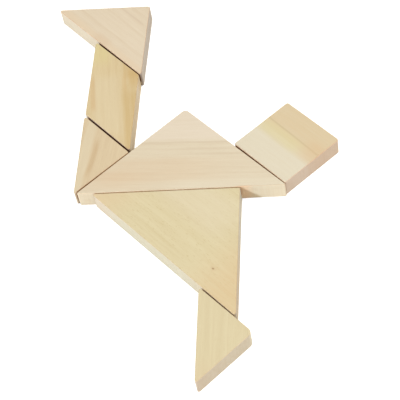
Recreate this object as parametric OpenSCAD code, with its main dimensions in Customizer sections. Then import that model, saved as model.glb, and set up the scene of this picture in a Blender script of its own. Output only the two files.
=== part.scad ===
// A wooden tangram: seven flat pieces sawn from one square board, laid out as a running figure.
// Every piece lies flat on its underside and rests by its neighbours, edge beside edge.

/* [Board] */
// Side of the square that the seven pieces pack into, as it is marked out on the board
square_side = 100; // [60:1:200]
// Thickness of the board
board_t = 8.9; // [4:0.1:20]
// Width of the saw cut between two neighbours on the board
saw_cut = 0.8; // [0.2:0.1:3]
// Radius of each upright corner, seen from above
corner_r = 0.8; // [0.7:0.05:3]
// Radius of the sanded arris round the top and round the underside
arris_r = 0.4; // [0.1:0.05:0.65]

/* [Thigh on the torso] */
// Distance of the thigh's tip from the torso's left tip, along the torso's long side
thigh_slide = 7.5; // [0:0.5:20]
// Gap at the tight end of this seam
thigh_gap = 0.25; // [0.1:0.05:0.9]
// Degrees by which the seam opens to the right, or to the left below zero
thigh_skew = 0; // [-2:0.1:2]

/* [Head on the torso] */
// Distance of the head's lower corner from the torso's right tip, along the torso's right side
head_slide = 1.3; // [0:0.1:20]
// Gap at the tight end of this seam
head_gap = 0.2; // [0.1:0.05:0.9]
// Degrees by which the seam opens upwards, or downwards below zero
head_skew = 1; // [-2:0.1:2]

/* [Knee on the torso] */
// Length by which the knee's lower tip passes the torso's left tip
knee_overhang = 0.6; // [0:0.1:10]
// Gap at the tight end of this seam
knee_gap = 0.3; // [0.1:0.05:0.9]
// Degrees by which the seam opens downwards, or upwards below zero
knee_skew = 0.5; // [-2:0.1:2]

/* [Shin on the knee] */
// Distance of the shin's lower tip from the knee's square corner, along the knee's upper side
shin_slide = 0.1; // [0:0.1:10]
// Gap at the tight end of this seam
shin_gap = 0.75; // [0.1:0.05:0.9]
// Degrees by which the seam opens to the left, or to the right below zero
shin_skew = 0.2; // [-2:0.1:2]

/* [Raised foot on the shin] */
// Length by which the raised foot's lower tip passes the shin's right corner
raised_foot_overhang = 1.4; // [0:0.1:15]
// Gap at the tight end of this seam
raised_foot_gap = 0.4; // [0.1:0.05:0.9]
// Degrees by which the seam opens to the left, or to the right below zero
raised_foot_skew = 0.7; // [-2:0.1:2]

/* [Standing foot on the thigh] */
// Length by which the standing foot's square corner passes the thigh's lower tip
standing_foot_overhang = 10.9; // [0:0.1:15]
// Gap at the tight end of this seam
standing_foot_gap = 0.3; // [0.1:0.05:0.9]
// Degrees by which the seam opens downwards, or upwards below zero
standing_foot_skew = -0.5; // [-2:0.1:2]

/* [Hidden] */

turn_facets = 32; // facets of a full turn round a corner
arris_steps = 4; // facets of the quarter round at an arris

// The marked sizes all follow from the square: its half diagonal, half its side and half of the first
large_leg = square_side / sqrt(2);
medium_leg = square_side / 2;
small_leg = large_leg / 2;

// Vector helpers in plan
function turned(p, a) = [p.x * cos(a) - p.y * sin(a), p.x * sin(a) + p.y * cos(a)];
function heading(v) = atan2(v.y, v.x);
function next(outline, i) = outline[(i + 1) % len(outline)];
function before(outline, i) = (i + len(outline) - 1) % len(outline);
function edge(outline, i) = next(outline, i) - outline[i];
function edge_length(outline, i) = norm(edge(outline, i));
function inward(v) = [-v.y, v.x] / norm(v);

// Outlines run anticlockwise; each is moved in by d from all of its sides
function moved_in(outline, d) = [
    for (i = [0 : len(outline) - 1])
        let (
            one = inward(edge(outline, before(outline, i))),
            other = inward(edge(outline, i))
        )
        outline[i] + d * (one + other) / (1 + one * other)
];

// A right triangle's square corner comes first, then the tip on its left and the tip below it
function right_triangle(leg) = [[0, 0], [-leg, 0], [0, -leg]];
function square_outline(side) = [[0, 0], [side, 0], [side, side], [0, side]];
// A parallelogram's corners run from its upper tip down its long left side
function leaning_outline(side) = [[0, 0], [side, -side], [2 * side, -side], [side, 0]];

// The outlines as sawn: half of the cut is lost from each marked side
function sawn(marked) = moved_in(marked, saw_cut / 2);
large_triangle = sawn(right_triangle(large_leg));
medium_triangle = sawn(right_triangle(medium_leg));
small_triangle = sawn(right_triangle(small_leg));
square_piece = sawn(square_outline(small_leg));
parallelogram = sawn(leaning_outline(small_leg));

// A place is [x, y, degrees]; a seated piece is [outline, place]
function placed(piece, p) = [piece[1].x, piece[1].y] + turned(p, piece[1].z);
function corners(piece) = [for (p = piece[0]) placed(piece, p)];

// Seats an outline's edge beside a host's edge. The two edges run in opposite ways, so the
// guest's edge ends by the corner where the host's edge starts, slide along it and gap out from it.
// A skew above zero opens the seam away from that corner, and one below zero towards it, with
// the gap kept at the tight end.
function seated(host, host_edge, outline, guest_edge, slide, gap, skew) =
    let (
        along = host[1].z + heading(edge(host[0], host_edge)),
        turn = along + 180 - heading(edge(outline, guest_edge)) - skew,
        lift = gap + max(0, edge_length(outline, guest_edge) * sin(-skew)),
        seat = placed(host, host[0][host_edge]) + turned([slide, -lift], along),
        at = seat - turned(next(outline, guest_edge), turn)
    )
    [outline, [at.x, at.y, turn]];

// The slide that brings the far end of a guest's edge past the host's far corner by an overhang
function slide_to_end(host, host_edge, outline, guest_edge, overhang) =
    edge_length(host[0], host_edge) - edge_length(outline, guest_edge) + overhang;

// The figure, worked out from the torso, whose long side lies along X with its square corner behind
torso = [large_triangle, [0, 0, 45]];
thigh = seated(torso, 1, large_triangle, 0, thigh_slide, thigh_gap, thigh_skew);
head = seated(torso, 2, square_piece, 3, head_slide, head_gap, head_skew);
knee = seated(torso, 0, small_triangle, 2,
    slide_to_end(torso, 0, small_triangle, 2, knee_overhang), knee_gap, knee_skew);
shin = seated(knee, 0, parallelogram, 1, shin_slide, shin_gap, shin_skew);
raised_foot = seated(shin, 3, medium_triangle, 1,
    -raised_foot_overhang, raised_foot_gap, raised_foot_skew);
standing_foot = seated(thigh, 1, small_triangle, 0,
    slide_to_end(thigh, 1, small_triangle, 0, standing_foot_overhang),
    standing_foot_gap, standing_foot_skew);

// The origin stands under the middle of the figure's box, whose sides touch the corners' rounds
function round_centres(piece) = corners([moved_in(piece[0], corner_r), piece[1]]);
centres = [
    for (piece = [torso, thigh, head, knee, shin, raised_foot, standing_foot])
        each round_centres(piece)
];
x_values = [for (p = centres) p.x];
y_values = [for (p = centres) p.y];
middle = [
    (min(x_values) + max(x_values)) / 2,
    (min(y_values) + max(y_values)) / 2
];

// The corner at i, as an arc of radius r from the side before it to the side after it
function corner_arc(outline, i, r) =
    let (
        centre = moved_in(outline, corner_r)[i],
        start = heading(edge(outline, before(outline, i))) - 90,
        sweep = (heading(edge(outline, i)) - 90 - start + 720) % 360,
        steps = round(turn_facets * sweep / 360)
    )
    [for (s = [0 : steps]) let (a = start + sweep * s / steps)
        centre + r * [cos(a), sin(a)]];

// One level of a piece: every corner rounded to r about its own centre, at height z
function level(outline, r, z) = [
    for (i = [0 : len(outline) - 1])
        for (p = corner_arc(outline, i, r))
            [p.x, p.y, z]
];

// Corner radius and height of each level, from the underside up: a quarter round, the upright
// side and another quarter round
arris_angles = [for (i = [0 : arris_steps]) 90 * i / arris_steps];
levels = concat(
    [for (a = arris_angles) [corner_r - arris_r * (1 - sin(a)), arris_r * (1 - cos(a))]],
    [for (a = arris_angles) [corner_r - arris_r * (1 - cos(a)), board_t - arris_r * (1 - sin(a))]]
);

// Skins n points a level: the underside, the quads between the levels, and the top
function skin(n) = concat(
    [[for (j = [0 : n - 1]) j]],
    [for (k = [0 : len(levels) - 2]) for (j = [0 : n - 1])
        let (a = k * n + j, b = k * n + (j + 1) % n)
        [a, a + n, b + n, b]],
    [[for (j = [n - 1 : -1 : 0]) (len(levels) - 1) * n + j]]
);

// One sawn and sanded piece, in its place in the figure
module board_piece(piece) {
    points = [for (l = levels) each level(piece[0], l[0], l[1])];
    translate([piece[1].x - middle.x, piece[1].y - middle.y, 0])
        rotate(piece[1].z)
            polyhedron(points = points, faces = skin(len(points) / len(levels)));
}

module torso_large_triangle() {
    color("#dcbf9c")
        board_piece(torso);
}

module thigh_large_triangle() {
    color("#e3c394")
        board_piece(thigh);
}

module head_square() {
    color("#dcbb8e")
        board_piece(head);
}

module knee_small_triangle() {
    color("#ddbb90")
        board_piece(knee);
}

module shin_parallelogram() {
    color("#e0b97f")
        board_piece(shin);
}

module raised_foot_medium_triangle() {
    color("#e2c4a2")
        board_piece(raised_foot);
}

module standing_foot_small_triangle() {
    color("#e0bd8c")
        board_piece(standing_foot);
}

torso_large_triangle();
thigh_large_triangle();
head_square();
knee_small_triangle();
shin_parallelogram();
raised_foot_medium_triangle();
standing_foot_small_triangle();
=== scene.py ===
from math import atan2, cos, pi, radians, sin, sqrt

import bmesh
import bpy
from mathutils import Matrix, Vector, noise


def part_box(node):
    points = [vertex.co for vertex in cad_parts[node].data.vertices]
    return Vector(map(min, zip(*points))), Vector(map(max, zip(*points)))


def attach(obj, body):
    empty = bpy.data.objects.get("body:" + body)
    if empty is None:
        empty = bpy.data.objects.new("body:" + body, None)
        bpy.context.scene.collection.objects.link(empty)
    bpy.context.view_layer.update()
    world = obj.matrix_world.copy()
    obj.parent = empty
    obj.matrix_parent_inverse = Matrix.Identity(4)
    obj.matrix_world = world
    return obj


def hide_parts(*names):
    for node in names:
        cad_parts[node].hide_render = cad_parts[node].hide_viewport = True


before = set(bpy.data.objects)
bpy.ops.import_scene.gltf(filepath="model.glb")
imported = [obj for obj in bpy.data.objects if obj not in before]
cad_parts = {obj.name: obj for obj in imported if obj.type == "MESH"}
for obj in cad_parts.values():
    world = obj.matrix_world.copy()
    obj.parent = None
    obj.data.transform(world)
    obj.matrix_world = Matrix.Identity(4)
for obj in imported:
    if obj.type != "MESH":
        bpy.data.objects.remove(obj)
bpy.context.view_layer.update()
print("frame loaded with", len(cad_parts), "nodes")

millimetre = 0.001
samePlace = 1e-6  # metres: points closer than this count as one


# Outlines, measured on the CAD nodes so that every piece stays where it lies

def weldedCopy(nodeName):
    bm = bmesh.new()
    bm.from_mesh(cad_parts[nodeName].data)
    bmesh.ops.remove_doubles(bm, verts=bm.verts, dist=samePlace)
    return bm


def crossing(a, b, c, d):
    # where the line through a and b meets the line through c and d, seen from above
    one, other = b - a, d - c
    spread = one.x * other.y - one.y * other.x
    return a + one * (((c.x - a.x) * other.y - (c.y - a.y) * other.x) / spread)


def sharpCorners(nodeName, shortestSide=0.01):
    # the points that a piece's straight sides run to, anticlockwise, and its thickness
    bm = weldedCopy(nodeName)
    thickness = max(v.co.z for v in bm.verts)
    low = [v.co.copy() for v in bm.verts if v.co.z < thickness / 2]
    bm.free()
    waist = max(p.z for p in low)  # the level where the upright sides start
    ring = [p for p in low if waist - p.z < samePlace]
    centre = sum(ring, Vector()) / len(ring)
    ring.sort(key=lambda p: atan2(p.y - centre.y, p.x - centre.x))
    sides = [(ring[i - 1], p) for i, p in enumerate(ring)
             if (p - ring[i - 1]).length > shortestSide]
    corners = [crossing(*sides[i - 1], *side) for i, side in enumerate(sides)]
    return [Vector((p.x, p.y, 0)) for p in corners], thickness


# Board pieces: a sawn outline, raised to the board's thickness, rounded and sanded

def raisedOutline(corners, thickness):
    bm = bmesh.new()
    face = bm.faces.new([bm.verts.new(c) for c in corners])
    raised = bmesh.ops.extrude_face_region(bm, geom=[face])
    top = [g for g in raised["geom"] if isinstance(g, bmesh.types.BMVert)]
    bmesh.ops.translate(bm, verts=top, vec=(0, 0, thickness))
    return bm


def roundStart(before, corner, after, radius):
    # a bevel's round is drawn out at a sharp corner, so its middle is set where a circle's is
    half = (before - corner).angle(after - corner) / 2
    return radius * (1 / sin(half) - 1) / ((2 - sqrt(2)) * cos(half))


def cornerRadii(corners, radius, ownCorners):
    # the usual radius, and another at the corner that lies furthest towards each given heading
    radii = [radius] * len(corners)
    for heading, ownRadius in ownCorners:
        towards = Vector((cos(radians(heading)), sin(radians(heading)), 0))
        radii[max(range(len(corners)), key=lambda i: corners[i].dot(towards))] = ownRadius
    return radii


def roundEdges(bm, edges, offset, segments):
    bmesh.ops.bevel(bm, geom=edges, offset=offset, offset_type="OFFSET", affect="EDGES",
                    segments=segments, profile=0.5, material=-1, clamp_overlap=False)


def roundUprights(bm, corners, radii, segments):
    for i, corner in enumerate(corners):
        upright = [e for e in bm.edges
                   if all((v.co.xy - corner.xy).length < samePlace for v in e.verts)]
        start = roundStart(corners[i - 1], corner, corners[(i + 1) % len(corners)], radii[i])
        roundEdges(bm, upright, start, segments)


def divideSides(bm, step, digits=5):
    # columns along the straight sides, for the sanding to vary on; rims of one length, told
    # apart by so many digits of a metre, are cut together
    rims = [e for e in bm.edges
            if abs(e.verts[0].co.z - e.verts[1].co.z) < samePlace and e.calc_length() > 2 * step]
    for length in sorted({round(e.calc_length(), digits) for e in rims}):
        alike = [e for e in rims if e.is_valid and abs(e.calc_length() - length) < 10 ** -digits]
        bmesh.ops.subdivide_edges(bm, edges=alike, cuts=round(length / step) - 1,
                                  use_grid_fill=True)


def roundRims(bm, thickness, radius, segments):
    rims = [e for e in bm.edges
            if all(v.co.z < samePlace for v in e.verts)
            or all(v.co.z > thickness - samePlace for v in e.verts)]
    roundEdges(bm, rims, radius, segments)


def noiseShare(point):
    return 0.5 + 0.5 * noise.noise(point)  # from 0 to 1


def sand(bm, thickness, spec):
    # hand sanding takes a little more off in some places than in others, and never adds any
    for v in bm.verts:
        outward = Vector((v.normal.x, v.normal.y, 0)).normalized()
        wave = Vector((v.co.x, v.co.y, spec["seed"])) / spec["waveLength"]
        v.co -= outward * spec["waveDepth"] * noiseShare(wave)
        rim = min(v.co.z, thickness - v.co.z) / spec["arrisRadius"]
        if rim < 1:
            worn = noiseShare(v.co * spec["wearPerMetre"] + Vector((spec["seed"], 0, 0)))
            v.co -= v.normal * spec["arrisWear"] * worn * sin(pi * max(rim, 0))


def linkedObject(name, bm):
    mesh = bpy.data.meshes.new(name)
    bm.to_mesh(mesh)
    bm.free()
    made = bpy.data.objects.new(name, mesh)
    bpy.context.collection.objects.link(made)
    return made


def makeBoardPiece(spec):
    corners, thickness = sharpCorners(spec["node"])
    bm = raisedOutline(corners, thickness)
    radii = cornerRadii(corners, spec["cornerRadius"], spec["ownCorners"])
    roundUprights(bm, corners, radii, spec["cornerSegments"])
    divideSides(bm, spec["sideStep"])
    roundRims(bm, thickness, spec["arrisRadius"], spec["arrisSegments"])
    bmesh.ops.recalc_face_normals(bm, faces=bm.faces)
    bm.normal_update()
    sand(bm, thickness, spec)
    for f in bm.faces:
        f.smooth = True
    piece = linkedObject(spec["name"], bm)
    piece.modifiers.new("flatFaces", "WEIGHTED_NORMAL")
    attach(piece, "root")
    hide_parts(spec["node"])
    return piece


# Node helpers

noiseMiddle = 0.5  # a Noise node gives 0 to 1
seedStep = (37.0, 11.0, 1.0)  # how far a seed of 1 moves the noise, in millimetres
seamSamples = 8  # rays that tell how open a point lies


def addNode(tree, kind, x, y, **settings):
    node = tree.nodes.new(kind)
    node.location = (x, y)
    for key, value in settings.items():
        setattr(node, key, value)
    return node


def feed(tree, socket, value):
    # a socket is linked, and anything else is typed in
    if isinstance(value, bpy.types.NodeSocket):
        tree.links.new(value, socket)
    else:
        socket.default_value = value


def feedByName(tree, node, values):
    for label, value in values.items():
        feed(tree, node.inputs[label], value)


def placeGroup(tree, group, x, y, values):
    node = addNode(tree, "ShaderNodeGroup", x, y, node_tree=group)
    feedByName(tree, node, values)
    return node


def calculate(tree, x, y, operation, *values, clamp=False):
    node = addNode(tree, "ShaderNodeMath", x, y, operation=operation, use_clamp=clamp)
    for socket, value in zip(node.inputs, values):
        feed(tree, socket, value)
    return node.outputs[0]


def vectorCalculate(tree, x, y, operation, *values):
    node = addNode(tree, "ShaderNodeVectorMath", x, y, operation=operation)
    for socket, value in zip(node.inputs, values):
        feed(tree, socket, value)
    return node.outputs["Value" if operation in ("DOT_PRODUCT", "LENGTH") else "Vector"]


def splitVector(tree, x, y, vector):
    node = addNode(tree, "ShaderNodeSeparateXYZ", x, y)
    feed(tree, node.inputs[0], vector)
    return node.outputs


def blendColors(tree, x, y, factor, a, b, blend="MIX"):
    node = addNode(tree, "ShaderNodeMix", x, y, data_type="RGBA", blend_type=blend)
    feed(tree, node.inputs[0], factor)
    feed(tree, node.inputs[6], a)  # 6 and 7 are the pair of colors
    feed(tree, node.inputs[7], b)
    return node.outputs[2]


def remap(tree, x, y, value, low, high, toLow=0.0, toHigh=1.0, smooth=True):
    node = addNode(tree, "ShaderNodeMapRange", x, y,
                   interpolation_type="SMOOTHSTEP" if smooth else "LINEAR")
    feedByName(tree, node, {"Value": value, "From Min": low, "From Max": high,
                            "To Min": toLow, "To Max": toHigh})
    return node.outputs[0]


def plainNoise(tree, x, y, vector, detail, roughness):
    node = addNode(tree, "ShaderNodeTexNoise", x, y)
    feedByName(tree, node, {"Vector": vector, "Scale": 1.0, "Detail": detail,
                            "Roughness": roughness})
    return node.outputs["Fac"]


def stretchedNoise(tree, x, y, vector, cells, detail=2.0, roughness=0.5):
    # noise with so many cells a millimetre along, across and through the board
    scaled = vectorCalculate(tree, x, y, "MULTIPLY", vector, cells)
    return plainNoise(tree, x + 180, y, scaled, detail, roughness)


def reseeded(tree, x, y, vector, seed):
    # another part of the noise for another seed
    return vectorCalculate(tree, x, y, "MULTIPLY_ADD", seedStep, seed, vector)


def openness(tree, x, y, reach):
    # 0 deep in a seam, and 1 where nothing else is within reach
    node = addNode(tree, "ShaderNodeAmbientOcclusion", x, y, samples=seamSamples)
    feed(tree, node.inputs["Distance"], reach)
    return node.outputs["AO"]


def newGroup(name, inputs, outputs):
    group = bpy.data.node_groups.new(name, "ShaderNodeTree")
    for label, kind, default in inputs:
        socket = group.interface.new_socket(name=label, in_out="INPUT",
                                            socket_type="NodeSocket" + kind)
        if default is not None:
            socket.default_value = default
    for label, kind in outputs:
        group.interface.new_socket(name=label, in_out="OUTPUT", socket_type="NodeSocket" + kind)
    given = addNode(group, "NodeGroupInput", -1600, 0).outputs
    result = addNode(group, "NodeGroupOutput", 1200, 0).inputs
    return group, given, result


# Shared effects. Their vectors are in millimetres, with X along the grain. Cells are noise cells
# a millimetre along, across and through the board, and edges the values that a mask fades between.

grainLook = {
    "driftCells": (0.014, 0.05, 0.05), "swayGain": 2.0, "cloudCells": (0.02, 0.07, 0.07),
    "fibreCells": (0.045, 0.7, 0.7), "hairCells": (0.12, 5.5, 5.5),
    "fibreShare": 0.55, "hairShare": 0.45,
    "fleckCells": (0.55, 3.8, 3.8), "fleckEdges": (0.62, 0.76),
    "lateness": 2.6, "ringEnd": 0.86,  # how slowly a year darkens, and where it breaks off
    "faintestRing": 0.25, "ringVariety": 0.9,
    "plainTone": 0.25,  # how far plain wood lies from the early color to the late one
    "ringRelief": 0.5, "fleckRelief": -0.5,
}


def buildBoardGrain(look):
    # yearly rings round a far heart, with fibres, flecks and cloudy tone, solid through the board
    group, given, result = newGroup("boardGrain", [
        ("Vector", "Vector", None),
        ("Early Color", "Color", (0.6, 0.5, 0.35, 1)),
        ("Late Color", "Color", (0.5, 0.4, 0.27, 1)),
        ("Ring Spacing", "Float", 3.5),
        ("Ring Contrast", "Float", 0.4),
        ("Heart Distance", "Float", 130.0),
        ("Heart Depth", "Float", -40.0),
        ("Wander", "Float", 1.2),
        ("Fibre Contrast", "Float", 1.15),
        ("Fleck Contrast", "Float", 0.3),
        ("Cloud Contrast", "Float", 0.45),
        ("Seed", "Float", 0.0),
    ], [("Color", "Color"), ("Fibres", "Float"), ("Height", "Float")])
    vector = reseeded(group, -1300, -300, given["Vector"], given["Seed"])
    _, across, depth = splitVector(group, -1300, 200, given["Vector"])
    across = calculate(group, -1100, 300, "ADD", across, given["Heart Distance"])
    depth = calculate(group, -1100, 130, "ADD", depth, given["Heart Depth"])
    radius = calculate(group, -760, 220, "SQRT",
                       calculate(group, -930, 220, "MULTIPLY_ADD", across, across,
                                 calculate(group, -1100, -40, "MULTIPLY", depth, depth)))
    drift = stretchedNoise(group, -1100, -300, vector, look["driftCells"])
    sway = calculate(group, -760, 40, "MULTIPLY",
                     calculate(group, -930, 40, "SUBTRACT", drift, noiseMiddle), given["Wander"])
    years = calculate(group, -420, 200, "DIVIDE",
                      calculate(group, -590, 200, "MULTIPLY_ADD", sway, look["swayGain"], radius),
                      given["Ring Spacing"])
    year = calculate(group, -250, 330, "FLOOR", years)
    growth = calculate(group, -250, 180, "FRACT", years)
    chance = addNode(group, "ShaderNodeTexWhiteNoise", -80, 330, noise_dimensions="1D")
    feed(group, chance.inputs["W"], calculate(group, -160, 460, "ADD", year, given["Seed"]))
    late = calculate(group, -80, 180, "POWER", growth, look["lateness"])
    stop = remap(group, -80, 20, growth, look["ringEnd"], 1.0, 1.0, 0.0)
    strength = calculate(group, 90, 330, "MULTIPLY_ADD", chance.outputs["Value"],
                         look["ringVariety"], look["faintestRing"])
    rings = calculate(group, 260, 220, "MULTIPLY", strength,
                      calculate(group, 90, 160, "MULTIPLY", late, stop))
    fibres = stretchedNoise(group, -1100, -560, vector, look["fibreCells"],
                            detail=3, roughness=0.7)
    hairs = stretchedNoise(group, -1100, -760, vector, look["hairCells"])
    threads = calculate(group, -420, -600, "MULTIPLY_ADD", hairs, look["hairShare"],
                        calculate(group, -590, -600, "MULTIPLY", fibres, look["fibreShare"]))
    specks = stretchedNoise(group, -1100, -960, vector, look["fleckCells"], detail=1)
    flecks = remap(group, -700, -960, specks, *look["fleckEdges"])
    cloud = stretchedNoise(group, -1100, -1160, vector, look["cloudCells"], detail=3)
    tone = calculate(group, 430, 100, "MULTIPLY", rings, given["Ring Contrast"])
    for value, contrast, y in ((threads, "Fibre Contrast", -60), (cloud, "Cloud Contrast", -220)):
        centred = calculate(group, 260, y, "SUBTRACT", value, noiseMiddle)
        tone = calculate(group, 600, y, "MULTIPLY_ADD", centred, given[contrast], tone)
    tone = calculate(group, 770, 60, "MULTIPLY_ADD", flecks, given["Fleck Contrast"], tone)
    tone = calculate(group, 860, 60, "ADD", tone, look["plainTone"], clamp=True)
    feed(group, result["Color"],
         blendColors(group, 1000, 200, tone, given["Early Color"], given["Late Color"]))
    feed(group, result["Fibres"], threads)
    ridge = calculate(group, 770, -300, "MULTIPLY_ADD", rings, look["ringRelief"], threads)
    feed(group, result["Height"],
         calculate(group, 940, -300, "MULTIPLY_ADD", flecks, look["fleckRelief"], ridge))
    return group


bandLook = {
    "bendUnit": 0.01,  # how far a Bend of 1 moves a line, a millimetre along it
    "driftCells": (0.06, 0.02, 0.02),
    "threadCells": (0.05, 1.1, 1.1), "threadEdges": (0.25, 0.75), "threadStrength": (0.62, 1.1),
}


def buildGrainBand(look):
    # a soft streak or stripe that follows the grain
    group, given, result = newGroup("grainBand", [
        ("Vector", "Vector", None),
        ("Across", "Float", 0.0),
        ("Width", "Float", 2.0),
        ("Softness", "Float", 1.0),
        ("Start", "Float", -200.0),
        ("Finish", "Float", 200.0),
        ("Fade", "Float", 6.0),
        ("Lean", "Float", 0.0),
        ("Bend", "Float", 0.0),
        ("Wobble", "Float", 0.6),
        ("Seed", "Float", 0.0),
    ], [("Mask", "Float")])
    along, across, _ = splitVector(group, -1300, 200, given["Vector"])
    vector = reseeded(group, -1300, -300, given["Vector"], given["Seed"])
    line = calculate(group, -900, 300, "MULTIPLY_ADD", along, given["Lean"], given["Across"])
    curve = calculate(group, -730, 300, "MULTIPLY",
                      calculate(group, -900, 120, "MULTIPLY", along, along), given["Bend"])
    line = calculate(group, -560, 300, "MULTIPLY_ADD", curve, look["bendUnit"], line)
    drift = stretchedNoise(group, -1000, -300, vector, look["driftCells"])
    sway = calculate(group, -560, 120, "SUBTRACT", drift, noiseMiddle)
    line = calculate(group, -390, 300, "MULTIPLY_ADD", sway, given["Wobble"], line)
    away = calculate(group, -50, 300, "ABSOLUTE",
                     calculate(group, -220, 300, "SUBTRACT", across, line))
    core = calculate(group, -220, 120, "MULTIPLY", given["Width"], 0.5)
    body = remap(group, 120, 300, away, core,
                 calculate(group, -50, 120, "ADD", core, given["Softness"]), 1.0, 0.0)
    entry = remap(group, 120, 60, along, given["Start"],
                  calculate(group, -50, -20, "ADD", given["Start"], given["Fade"]))
    leave = remap(group, 120, -180, along,
                  calculate(group, -50, -180, "SUBTRACT", given["Finish"], given["Fade"]),
                  given["Finish"], 1.0, 0.0)
    mask = calculate(group, 470, 200, "MULTIPLY", body,
                     calculate(group, 300, 0, "MULTIPLY", entry, leave))
    threads = stretchedNoise(group, -1000, -560, vector, look["threadCells"],
                             detail=3, roughness=0.6)
    uneven = remap(group, 300, -400, threads, *look["threadEdges"], *look["threadStrength"],
                   smooth=False)
    feed(group, result["Mask"], calculate(group, 700, 100, "MULTIPLY", mask, uneven, clamp=True))
    return group


sideLook = {
    "sideEdges": (0.25, 0.6), "arrisEdges": (0.04, 0.22),
    "lineCellsUp": 60.0,  # cells a metre, so a saw line runs up most of a side
    "seamEdges": (0.25, 0.85), "floorEdges": (0.002, 0.004),
}


def buildSawnSides(look):
    # where a surface is a sawn side, end grain, a sanded arris or deep in a seam, and the saw's
    # own fine lines; the arris and seam masks are where edge shade and seam shade get painted
    group, given, result = newGroup("sawnSides", [
        ("Grain Direction", "Vector", (1, 0, 0)),
        ("Line Spacing", "Float", 0.7),
        ("Seam Shade Reach", "Float", 0.0015),
        ("Seed", "Float", 0.0),
    ], [("Side", "Float"), ("End Grain", "Float"), ("Arris", "Float"), ("Saw Lines", "Float"),
        ("Painted Seam Shade", "Float")])
    place = addNode(group, "ShaderNodeTexCoord", -1300, -200).outputs["Object"]
    normal = addNode(group, "ShaderNodeNewGeometry", -1300, 200).outputs["Normal"]
    _, _, upward = splitVector(group, -1100, 300, normal)
    lift = calculate(group, -930, 300, "MULTIPLY", upward, upward)
    feed(group, result["Side"], remap(group, -600, 400, lift, *look["sideEdges"], 1.0, 0.0))
    slope = calculate(group, -760, 200, "MULTIPLY", lift,
                      calculate(group, -930, 150, "SUBTRACT", 1.0, lift))
    feed(group, result["Arris"], remap(group, -600, 200, slope, *look["arrisEdges"]))
    facing = vectorCalculate(group, -1100, 60, "DOT_PRODUCT", normal, given["Grain Direction"])
    feed(group, result["End Grain"], calculate(group, -760, 20, "MULTIPLY", facing, facing))
    course = vectorCalculate(group, -1100, -100, "CROSS_PRODUCT", normal, (0, 0, 1))
    run = vectorCalculate(group, -930, -160, "DOT_PRODUCT", place, course)
    _, _, height = splitVector(group, -930, -330, place)
    point = addNode(group, "ShaderNodeCombineXYZ", -420, -200)
    feed(group, point.inputs[0],
         calculate(group, -590, -160, "DIVIDE",
                   calculate(group, -760, -160, "MULTIPLY", run, 1 / millimetre),
                   given["Line Spacing"]))
    feed(group, point.inputs[1],
         calculate(group, -590, -330, "MULTIPLY", height, look["lineCellsUp"]))
    feed(group, point.inputs[2], given["Seed"])
    feed(group, result["Saw Lines"],
         plainNoise(group, -250, -200, point.outputs[0], detail=3, roughness=0.65))
    # painted shade: how deep in a seam a point lies, for darkening the wood between pieces
    deep = remap(group, 0, -500, openness(group, -250, -500, given["Seam Shade Reach"]),
                 *look["seamEdges"], 1.0, 0.0)
    clear = remap(group, 0, -700, height, *look["floorEdges"])  # the floor makes no seam
    feed(group, result["Painted Seam Shade"], calculate(group, 180, -500, "MULTIPLY", deep, clear))
    return group


knotLook = {
    "squeeze": (0.7, 1, 0.15),  # a knot is longer along the grain and runs deep
    "raggedCells": (1.4, 2.0, 0.3), "coreStart": 0.5, "haloReach": 3.2,
}


def buildPinKnot(look):
    # a tiny dark knot or worm speck with a browner ring about it
    group, given, result = newGroup("pinKnot", [
        ("Vector", "Vector", None),
        ("Place", "Vector", (0, 0, 0)),
        ("Size", "Float", 0.5),
        ("Seed", "Float", 0.0),
    ], [("Core", "Float"), ("Halo", "Float")])
    offset = vectorCalculate(group, -1200, 200, "SUBTRACT", given["Vector"], given["Place"])
    squeezed = vectorCalculate(group, -1030, 200, "MULTIPLY", offset, look["squeeze"])
    reach = vectorCalculate(group, -860, 200, "LENGTH", squeezed)
    vector = reseeded(group, -1400, -100, given["Vector"], given["Seed"])
    ragged = stretchedNoise(group, -1200, -100, vector, look["raggedCells"])
    size = calculate(group, -690, 60, "MULTIPLY", given["Size"],
                     calculate(group, -860, 0, "ADD", ragged, 1 - noiseMiddle))
    start = calculate(group, -560, 100, "MULTIPLY", size, look["coreStart"])
    finish = calculate(group, -560, -60, "MULTIPLY", size, look["haloReach"])
    feed(group, result["Core"], remap(group, -400, 200, reach, start, size, 1.0, 0.0))
    feed(group, result["Halo"], remap(group, -400, -60, reach, size, finish, 1.0, 0.0))
    return group


boardGrain = buildBoardGrain(grainLook)
grainBand = buildGrainBand(bandLook)
sawnSides = buildSawnSides(sideLook)
pinKnot = buildPinKnot(knotLook)
print("shared effects built")


# Wood: one board's grain, then its streaks and knots, its sides and its seams; sides, arrises and
# seams carry painted light and shade

def newMaterial(name):
    material = bpy.data.materials.new(name)
    material.use_nodes = True
    return material, material.node_tree, material.node_tree.nodes["Principled BSDF"]


def grainCoordinates(tree, middle, heading):
    # millimetres from the grain's middle, turned so that X runs along the grain
    place = addNode(tree, "ShaderNodeTexCoord", -700, 0).outputs["Object"]
    mapping = addNode(tree, "ShaderNodeMapping", -500, 0, vector_type="TEXTURE")
    feedByName(tree, mapping, {"Vector": place, "Location": [c * millimetre for c in middle],
                               "Rotation": (0, 0, heading), "Scale": [millimetre] * 3})
    return mapping.outputs[0]


def addBands(tree, color, inGrain, spec):
    for i, band in enumerate(spec["bands"]):
        x, y = -50 + 60 * i, 300 + 220 * i
        shape = {label: value for label, value in band.items() if label not in ("color", "amount")}
        streak = placeGroup(tree, grainBand, x, y,
                            {"Vector": inGrain, "Seed": spec["seed"] + i, **shape})
        amount = calculate(tree, x + 180, y, "MULTIPLY", streak.outputs["Mask"], band["amount"])
        color = blendColors(tree, x + 350, 100, amount, color, band["color"])
    return color


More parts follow.
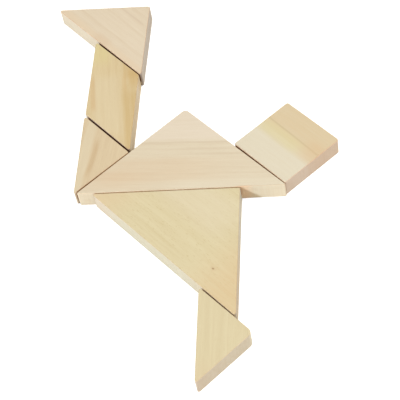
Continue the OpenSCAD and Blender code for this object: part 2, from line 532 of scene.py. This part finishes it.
def addKnots(tree, color, inGrain, spec):
    for i, knot in enumerate(spec["knots"]):
        y = -400 - 200 * i
        spot = placeGroup(tree, pinKnot, 300, y,
                          {"Vector": inGrain, "Place": knot["place"], "Size": knot["size"],
                           "Seed": spec["seed"] + i})
        for mask, part, x in (("Halo", "halo", 480), ("Core", "core", 660)):
            amount = calculate(tree, x, y, "MULTIPLY", spot.outputs[mask], knot[part + "Amount"])
            color = blendColors(tree, x + 150, 100, amount, color, knot[part + "Color"])
    return color


def addSides(tree, color, sides, spec):
    side = sides.outputs["Side"]
    plain = calculate(tree, 860, -640, "MULTIPLY", side, spec["plainSide"])
    color = blendColors(tree, 900, 260, plain, color, spec["sideColor"])
    # the sides are painted paler and bluer than the top: partly the sawn wood's own tone, partly
    # painted side light
    color = blendColors(tree, 950, 100, side, color, spec["sideTint"], "MULTIPLY")
    lines = remap(tree, 700, -900, sides.outputs["Saw Lines"], *spec["sawLineEdges"])
    scored = calculate(tree, 870, -760, "MULTIPLY", lines, side)
    # end grain and saw lines are the wood's own; the arris tint paints edge shade along the
    # rounded rims, and the seam tint paints shade deep in the seams between pieces
    for i, (mask, part) in enumerate(((sides.outputs["End Grain"], "end"), (scored, "sawLine"),
                                      (sides.outputs["Arris"], "arris"),
                                      (sides.outputs["Painted Seam Shade"], "paintedSeamShade"))):
        x = 1050 + 110 * i
        amount = calculate(tree, x, -800 - 140 * i, "MULTIPLY", mask, spec[part + "Amount"])
        color = blendColors(tree, x, 100, amount, color, spec[part + "Tint"], "MULTIPLY")
    return color


def addRelief(tree, grain, sides, spec):
    furrows = calculate(tree, 1050, -500, "MULTIPLY", sides.outputs["Side"],
                        calculate(tree, 880, -560, "MULTIPLY", sides.outputs["Saw Lines"],
                                  spec["furrowRelief"]))
    bump = addNode(tree, "ShaderNodeBump", 1400, -400)
    feedByName(tree, bump, {
        "Strength": spec["reliefStrength"], "Distance": spec["reliefDepth"],
        "Height": calculate(tree, 1220, -500, "ADD", grain.outputs["Height"], furrows)})
    return bump.outputs[0]


def makeWood(spec):
    material, tree, surface = newMaterial(spec["slot"])
    heading = radians(spec["grainHeading"])
    inGrain = grainCoordinates(tree, spec["grainMiddle"], heading)
    grain = placeGroup(tree, boardGrain, -250, 0,
                       {"Vector": inGrain, "Seed": spec["seed"], **spec["grain"]})
    sides = placeGroup(tree, sawnSides, 500, -900,
                       {"Grain Direction": (cos(heading), sin(heading), 0),
                        "Line Spacing": spec["sawLineSpacing"],
                        "Seam Shade Reach": spec["seamShadeReach"], "Seed": spec["seed"]})
    color = addBands(tree, grain.outputs["Color"], inGrain, spec)
    color = addKnots(tree, color, inGrain, spec)
    color = addSides(tree, color, sides, spec)
    feedByName(tree, surface, {
        "Base Color": color,
        "Roughness": remap(tree, 1300, -200, grain.outputs["Fibres"], *spec["fibreEdges"],
                           *spec["roughness"], smooth=False),
        "Specular IOR Level": spec["specular"],
        "Normal": addRelief(tree, grain, sides, spec)})
    return material


# The seven pieces. Each entry of ownCorners is a heading in degrees and that corner's radius.
# Sizes are in metres, but those of the grain, its middle, bands, knots and saw lines are in
# millimetres, and the places of bands and knots are counted from grainMiddle.

board = {
    "cornerRadius": 0.0008, "ownCorners": [], "cornerSegments": 8,
    "arrisRadius": 0.0004, "arrisSegments": 4, "sideStep": 0.0025,
    "waveLength": 0.012, "waveDepth": 0.00003, "arrisWear": 0.00008, "wearPerMetre": 260,
    "knots": [],
    "sawLineSpacing": 0.7, "sawLineEdges": (0.35, 0.7), "sawLineAmount": 0.25,
    "sawLineTint": (0.86, 0.78, 0.68, 1),
    # the side tint is partly painted side light that makes the sides paler than the top
    "plainSide": 0.0, "sideColor": (0.6, 0.53, 0.4, 1), "sideTint": (1.1, 1.19, 1.33, 1),
    "endAmount": 0.8, "endTint": (0.87, 0.79, 0.82, 1),
    # the arris tint is painted edge shade along the rounded rims
    "arrisAmount": 0.7, "arrisTint": (0.95, 0.84, 0.74, 1),
    # painted shade deep in the seams between pieces: how far to look, how strong, and its color
    "seamShadeReach": 0.0015, "paintedSeamShadeAmount": 0.9, "paintedSeamShadeTint": (0.6, 0.28, 0.1, 1),
    "fibreEdges": (0.25, 0.75), "roughness": (0.5, 0.68), "specular": 0.35,
    "reliefStrength": 0.35, "reliefDepth": 0.00005, "furrowRelief": 1.6,
}

torso = {
    **board, "name": "torsoLargeTriangle", "node": "torso_large_triangle", "slot": "torso_wood",
    "ownCorners": [(90, 0.0022), (180, 0.0006), (0, 0.0005)], "seed": 1.7,
    "sideTint": (1.18, 1.23, 1.3, 1),
    "grainMiddle": (-1.4, 5.6, 4.5), "grainHeading": -2,
    "grain": {"Early Color": (0.653, 0.599, 0.476, 1), "Late Color": (0.539, 0.448, 0.318, 1),
              "Ring Spacing": 2.8, "Ring Contrast": 0.22, "Heart Distance": -180.0,
              "Heart Depth": -60.0, "Wander": 1.6},
    "bands": [
        # painted shade: this first band is an orange patch on the front side, right of the thigh,
        # where the thigh's shadow falls, standing in for warm light bounced into that shade
        {"Across": -16.44, "Lean": 0.0349, "Width": 0.6, "Softness": 0.4, "Start": 24.0,
         "Finish": 35.0, "Fade": 5.0, "Wobble": 0.0, "color": (0.7, 0.39, 0.2, 1),
         "amount": 0.75},
        {"Across": 27.0, "Width": 24.0, "Softness": 4.0, "color": (0.691, 0.628, 0.547, 1),
         "amount": 0.6},
        {"Across": -5.0, "Width": 9.0, "Softness": 5.0, "Start": -60.0, "Finish": 34.0,
         "Fade": 36.0, "color": (0.607, 0.462, 0.309, 1), "amount": 0.36},
        {"Across": -11.0, "Width": 7.0, "Softness": 4.0, "Start": -60.0, "Finish": -8.0,
         "Fade": 24.0, "color": (0.591, 0.415, 0.253, 1), "amount": 0.25},
        {"Across": 11.4, "Width": 0.4, "Softness": 0.8, "Start": -34.0, "Finish": 38.0,
         "Fade": 16.0, "Wobble": 0.9, "color": (0.475, 0.374, 0.275, 1), "amount": 0.28},
        {"Across": 7.6, "Width": 0.4, "Softness": 0.9, "Start": -14.0, "Finish": 46.0,
         "Fade": 20.0, "Wobble": 0.9, "color": (0.507, 0.415, 0.304, 1), "amount": 0.22},
        {"Across": 4.4, "Width": 0.4, "Softness": 0.9, "Start": -4.0, "Finish": 60.0,
         "Fade": 16.0, "Wobble": 0.9, "color": (0.507, 0.415, 0.304, 1), "amount": 0.22},
        {"Across": -15.0, "Width": 4.0, "Softness": 5.0, "Start": -12.0, "Finish": 80.0,
         "Fade": 20.0, "color": (0.681, 0.645, 0.527, 1), "amount": 0.45},
    ],
}

thigh = {
    **board, "name": "thighLargeTriangle", "node": "thigh_large_triangle", "slot": "thigh_wood",
    "ownCorners": [(45, 0.0005)], "seed": 3.1,
    "paintedSeamShadeAmount": 0.36, "paintedSeamShadeTint": (0.6, 0.28, 0.02, 1),
    "sideTint": (1.03, 1.15, 1.5, 1), "endTint": (0.62, 0.63, 0.66, 1),
    "grainMiddle": (3.3, -34.0, 4.5), "grainHeading": -44,
    "grain": {"Early Color": (0.63, 0.574, 0.389, 1), "Late Color": (0.523, 0.442, 0.25, 1),
              "Ring Spacing": 5.5, "Ring Contrast": 0.18, "Heart Distance": 160.0,
              "Fleck Contrast": 0.8, "Cloud Contrast": 0.6},
    "bands": [
        {"Across": 15.0, "Width": 8.0, "Softness": 12.0, "Start": -50.0, "Finish": 22.0,
         "Fade": 20.0, "color": (0.651, 0.593, 0.454, 1), "amount": 0.5},
        {"Across": -8.0, "Width": 20.0, "Softness": 18.0, "Start": 10.0, "Finish": 90.0,
         "Fade": 28.0, "color": (0.604, 0.463, 0.272, 1), "amount": 0.7},
        {"Across": -10.0, "Width": 16.0, "Softness": 22.0, "Start": -90.0, "Finish": -24.0,
         "Fade": 24.0, "color": (0.64, 0.494, 0.324, 1), "amount": 0.6},
    ],
    "knots": [{"place": (23.7, -7.0, 4.4), "size": 0.5,
               "coreAmount": 0.8, "coreColor": (0.308, 0.203, 0.104, 1),
               "haloAmount": 0.35, "haloColor": (0.515, 0.382, 0.23, 1)}],
}

head = {
    **board, "name": "headSquare", "node": "head_square", "slot": "head_wood",
    "ownCorners": [(0, 0.0015), (90, 0.0011), (-90, 0.0006)], "seed": 5.3,
    "plainSide": 0.7, "sideColor": (0.62, 0.54, 0.415, 1),
    "arrisAmount": 1.0, "arrisTint": (0.97, 0.82, 0.74, 1), "paintedSeamShadeTint": (0.5, 0.24, 0.06, 1),
    "grainMiddle": (47.3, 14.8, 4.5), "grainHeading": -46,
    "grain": {"Early Color": (0.643, 0.601, 0.47, 1), "Late Color": (0.532, 0.45, 0.298, 1),
              "Ring Spacing": 4.4, "Ring Contrast": 0.3, "Heart Distance": 120.0},
    "bands": [
        {"Across": -12.0, "Width": 12.0, "Softness": 7.0, "color": (0.647, 0.619, 0.525, 1),
         "amount": 0.6},
        {"Across": 14.5, "Width": 20.0, "Softness": 6.0, "color": (0.595, 0.488, 0.318, 1),
         "amount": 0.85},
        {"Across": 4.2, "Width": 0.3, "Softness": 0.6, "Lean": -0.03, "Start": -24.0,
         "Finish": 32.0, "color": (0.449, 0.363, 0.228, 1), "amount": 0.5},
        {"Across": 0.5, "Width": 3.0, "Softness": 4.0, "Start": -24.0, "Finish": 14.0,
         "Fade": 12.0, "color": (0.605, 0.547, 0.295, 1), "amount": 0.55},
        {"Across": 3.2, "Width": 8.0, "Softness": 4.0, "Start": 4.0, "Finish": 60.0,
         "Fade": 10.0, "color": (0.595, 0.442, 0.267, 1), "amount": 0.55},
    ],
}

knee = {
    **board, "name": "kneeSmallTriangle", "node": "knee_small_triangle", "slot": "knee_wood",
    "ownCorners": [(-90, 0.0006)], "seed": 7.9,
    "paintedSeamShadeAmount": 0.95, "paintedSeamShadeTint": (0.52, 0.23, 0.02, 1),
    "grainMiddle": (-45.0, 13.3, 4.5), "grainHeading": 84,
    "grain": {"Early Color": (0.625, 0.533, 0.369, 1), "Late Color": (0.502, 0.386, 0.247, 1),
              "Ring Spacing": 4.0, "Ring Contrast": 0.22, "Heart Distance": 90.0},
    "bands": [
        {"Across": 3.4, "Width": 2.6, "Softness": 2.2, "color": (0.639, 0.583, 0.438, 1),
         "amount": 0.6},
        {"Across": -1.3, "Width": 0.9, "Softness": 1.5, "Start": -17.0, "Finish": 11.0,
         "Fade": 8.0, "Bend": 0.7, "color": (0.48, 0.346, 0.196, 1), "amount": 0.5},
    ],
}

shin = {
    **board, "name": "shinParallelogram", "node": "shin_parallelogram", "slot": "shin_wood",
    "seed": 9.2, "sideTint": (1.06, 1.22, 1.7, 1),
    "seamShadeReach": 0.0019, "paintedSeamShadeAmount": 1.0, "paintedSeamShadeTint": (0.22, 0.07, 0.01, 1),
    "grainMiddle": (-38.2, 50.4, 4.5), "grainHeading": 97,
    "grain": {"Early Color": (0.632, 0.541, 0.349, 1), "Late Color": (0.512, 0.39, 0.21, 1),
              "Ring Spacing": 3.6, "Ring Contrast": 0.22, "Heart Distance": 100.0},
    "bands": [
        {"Across": 3.0, "Width": 9.0, "Softness": 4.0, "Start": -30.0, "Finish": 16.0,
         "Fade": 8.0, "color": (0.635, 0.563, 0.407, 1), "amount": 0.4},
        {"Across": -8.6, "Width": 5.0, "Softness": 2.5, "Start": -60.0, "Finish": 10.0,
         "Fade": 16.0, "color": (0.509, 0.367, 0.16, 1), "amount": 0.62},
        {"Across": -10.0, "Width": 6.0, "Softness": 2.0, "Start": 6.0, "Finish": 40.0,
         "Fade": 6.0, "color": (0.52, 0.372, 0.171, 1), "amount": 0.6},
        {"Across": -6.0, "Width": 1.0, "Softness": 1.0, "Start": -2.0, "Finish": 14.0,
         "color": (0.579, 0.413, 0.211, 1), "amount": 0.4},
        {"Across": 9.8, "Width": 0.8, "Softness": 1.4, "Start": -12.0, "Finish": 16.0,
         "color": (0.54, 0.371, 0.191, 1), "amount": 0.5},
        {"Across": -11.4, "Width": 3.0, "Softness": 3.0, "Start": 0.0, "Finish": 18.0,
         "Fade": 7.0, "color": (0.505, 0.345, 0.132, 1), "amount": 0.6},
        {"Across": 7.0, "Width": 8.0, "Softness": 5.0, "Start": 16.0, "Finish": 60.0,
         "Fade": 12.0, "color": (0.614, 0.552, 0.282, 1), "amount": 0.65},
    ],
}

raisedFoot = {
    **board, "name": "raisedFootMediumTriangle", "node": "raised_foot_medium_triangle",
    "slot": "raised_foot_wood", "ownCorners": [(45, 0.0013)], "seed": 11.4,
    "sideTint": (1.03, 1.15, 1.31, 1), "endAmount": 1.0, "endTint": (0.45, 0.43, 0.5, 1),
    "arrisAmount": 1.0, "arrisTint": (0.96, 0.8, 0.7, 1),
    "seamShadeReach": 0.0024, "paintedSeamShadeAmount": 1.0, "paintedSeamShadeTint": (0.25, 0.08, 0.02, 1),
    "grainMiddle": (-40.4, 94.6, 4.5), "grainHeading": -47,
    "grain": {"Early Color": (0.676, 0.608, 0.49, 1), "Late Color": (0.562, 0.464, 0.335, 1),
              "Ring Spacing": 4.6, "Ring Contrast": 0.28, "Heart Distance": 140.0},
    "bands": [
        {"Across": 11.8, "Width": 0.3, "Softness": 0.7, "Start": -16.0, "Finish": 10.0,
         "color": (0.491, 0.386, 0.297, 1), "amount": 0.32},
        {"Across": -10.5, "Width": 2.0, "Softness": 3.0, "color": (0.651, 0.539, 0.393, 1),
         "amount": 0.65},
        {"Across": -9.0, "Width": 2.0, "Softness": 3.0, "Start": -7.0, "Finish": 8.0,
         "Fade": 5.0, "color": (0.596, 0.475, 0.344, 1), "amount": 0.5},
    ],
}

standingFoot = {
    **board, "name": "standingFootSmallTriangle", "node": "standing_foot_small_triangle",
    "slot": "standing_foot_wood", "ownCorners": [(0, 0.0028)], "seed": 13.6,
    "paintedSeamShadeAmount": 0.4, "paintedSeamShadeTint": (0.6, 0.28, 0.02, 1),
    "sideTint": (1.12, 1.27, 1.65, 1),
    "grainMiddle": (17.9, -88.3, 4.5), "grainHeading": 90,
    "grain": {"Early Color": (0.628, 0.571, 0.389, 1), "Late Color": (0.531, 0.447, 0.273, 1),
              "Ring Spacing": 3.0, "Ring Contrast": 0.28, "Heart Distance": 110.0,
              "Wander": 0.6},
    "bands": [
        {"Across": 4.0, "Width": 1.4, "Softness": 1.0, "color": (0.558, 0.488, 0.314, 1),
         "amount": 0.4},
        {"Across": -1.5, "Width": 1.2, "Softness": 1.2, "color": (0.568, 0.498, 0.323, 1),
         "amount": 0.4},
        {"Across": 0.0, "Width": 40.0, "Start": -60.0, "Finish": -6.0, "Fade": 26.0,
         "color": (0.599, 0.482, 0.321, 1), "amount": 0.6},
    ],
}

for spec in (torso, thigh, head, knee, shin, raisedFoot, standingFoot):
    piece = makeBoardPiece(spec)
    piece.data.materials.append(makeWood(spec))
    print("made", spec["name"], "with", len(piece.data.polygons), "faces")


# Floor, light and camera

floor = {"size": 6.0, "color": (0.80, 0.69, 0.57, 1), "roughness": 0.9,
         "glowColor": (0.74, 0.88, 1.0, 1), "glow": 0.85,
         "seamReach": 0.01, "seamEdges": (0.05, 0.35)}


def makeFloor(spec):
    bm = bmesh.new()
    bmesh.ops.create_grid(bm, x_segments=1, y_segments=1, size=spec["size"] / 2)
    ground = linkedObject("studioFloor", bm)
    material, tree, surface = newMaterial("studioFloor")
    # the glow stands in for a lit backdrop: only the camera sees it, and not deep in a seam
    seen = addNode(tree, "ShaderNodeLightPath", -600, -200).outputs["Is Camera Ray"]
    clear = remap(tree, -600, -400, openness(tree, -800, -400, spec["seamReach"]),
                  *spec["seamEdges"], 0.0, spec["glow"])
    feedByName(tree, surface, {
        "Base Color": spec["color"], "Roughness": spec["roughness"],
        "Emission Color": spec["glowColor"],
        "Emission Strength": calculate(tree, -200, -200, "MULTIPLY", seen, clear)})
    ground.data.materials.append(material)


makeFloor(floor)

lamps = {
    "keyLamp": {"place": (-0.80, -0.98, 0.74), "size": 0.12, "power": 12.2,
                "color": (0.86, 0.94, 1.0)},
    "sideLamp": {"place": (0.95, 0.1, 1.05), "size": 1.0, "power": 15.7,
                 "color": (0.93, 0.97, 1.0)},
    "lowLamp": {"place": (-1.25, -0.35, 0.35), "size": 0.8, "power": 4.0,
                "color": (0.86, 0.94, 1.0)},
}


def makeLamp(name, spec):
    lamp = bpy.data.lights.new(name, "AREA")
    lamp.shape = "SQUARE"
    lamp.size = spec["size"]
    lamp.energy = spec["power"]
    lamp.color = spec["color"]
    holder = bpy.data.objects.new(name, lamp)
    holder.location = spec["place"]
    holder.rotation_euler = Vector(spec["place"]).to_track_quat("Z", "Y").to_euler()
    bpy.context.collection.objects.link(holder)


for name, spec in lamps.items():
    makeLamp(name, spec)

sky = {"color": (1.0, 0.79, 0.56, 1), "seenColor": (2.0, 2.0, 2.0, 1), "strength": 0.5}


def makeSky(spec):
    # warm for the light that it gives, and white where it is seen
    world = bpy.data.worlds.new("studio")
    world.use_nodes = True
    tree = world.node_tree
    seen = addNode(tree, "ShaderNodeLightPath", -500, 0).outputs["Is Camera Ray"]
    feedByName(tree, tree.nodes["Background"], {
        "Color": blendColors(tree, -250, 100, seen, spec["color"], spec["seenColor"]),
        "Strength": spec["strength"]})
    bpy.context.scene.world = world


makeSky(sky)
bpy.context.scene.view_settings.view_transform = "Standard"

# the camera's place is given from the lowest corner of the torso's box, and its turn in degrees
shot = {"fromTorso": (0.133628, -0.364253, 0.471942), "turn": (37.6827, 7.3716, 2.5842),
        "lens": 117.065, "sensor": 36.0, "clipStart": 0.01}


def makeCamera(spec):
    data = bpy.data.cameras.new("shotCamera")
    data.lens = spec["lens"]
    data.sensor_width = spec["sensor"]
    data.clip_start = spec["clipStart"]
    camera = bpy.data.objects.new("shotCamera", data)
    camera.location = Vector(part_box("torso_large_triangle")[0]) + Vector(spec["fromTorso"])
    camera.rotation_euler = [radians(a) for a in spec["turn"]]
    bpy.context.collection.objects.link(camera)
    bpy.context.scene.camera = camera


makeCamera(shot)
print("floor, lamps and camera placed")
